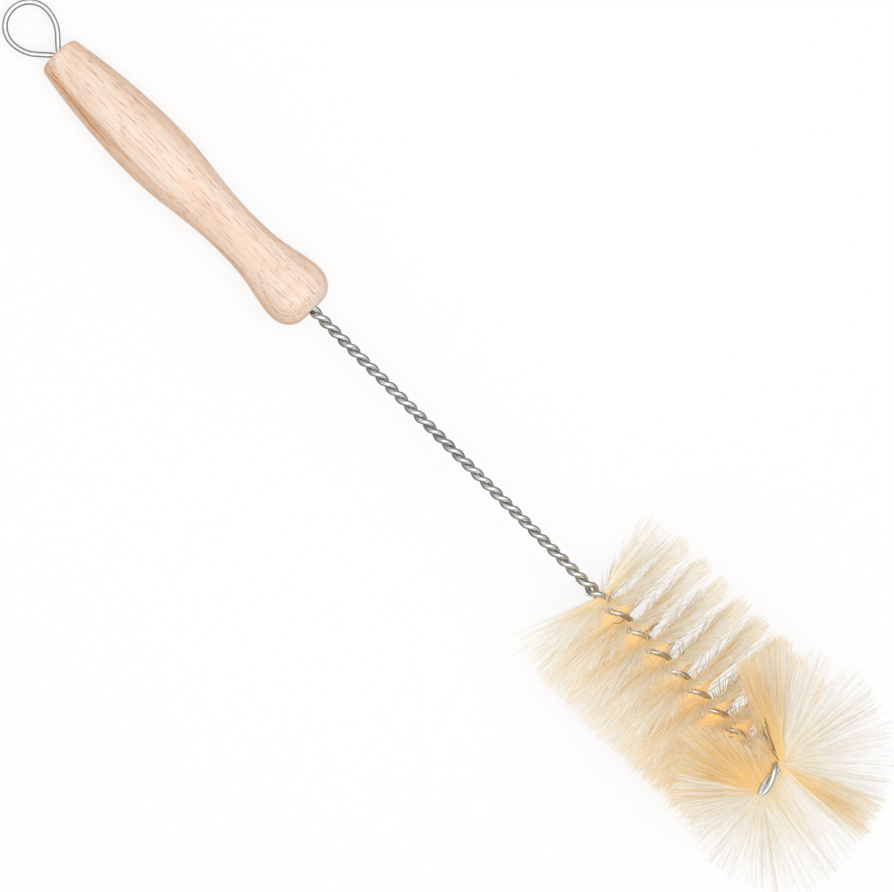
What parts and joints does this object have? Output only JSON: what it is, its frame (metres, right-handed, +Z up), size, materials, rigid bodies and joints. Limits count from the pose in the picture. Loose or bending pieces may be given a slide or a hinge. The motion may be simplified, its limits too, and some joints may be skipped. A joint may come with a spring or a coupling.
{
  "type": "bottle brush",
  "caption": "Bottle brush with a turned wooden handle, a twisted wire stem folded into a hanging loop, and a round bristle head with a bent-up fanned tip.",
  "frame": {"origin": "on the ground, under the middle of the brush's bounding box as it lies at rest", "axes": "+X along the brush from the hanging loop towards the bristles, +Z up; the axis climbs about 5 degrees towards the bristles"},
  "size_m": [0.3749, 0.0727, 0.0699],
  "materials": {
    "beech": "satin",
    "galvanised_wire": "satin",
    "bristle": "soft sheen"
  },
  "bodies": {
    "root": {"handle": "beech", "wire": "galvanised_wire", "bristle_spiral": "bristle", "bristle_tip": "bristle"}
  },
  "joints": []
}
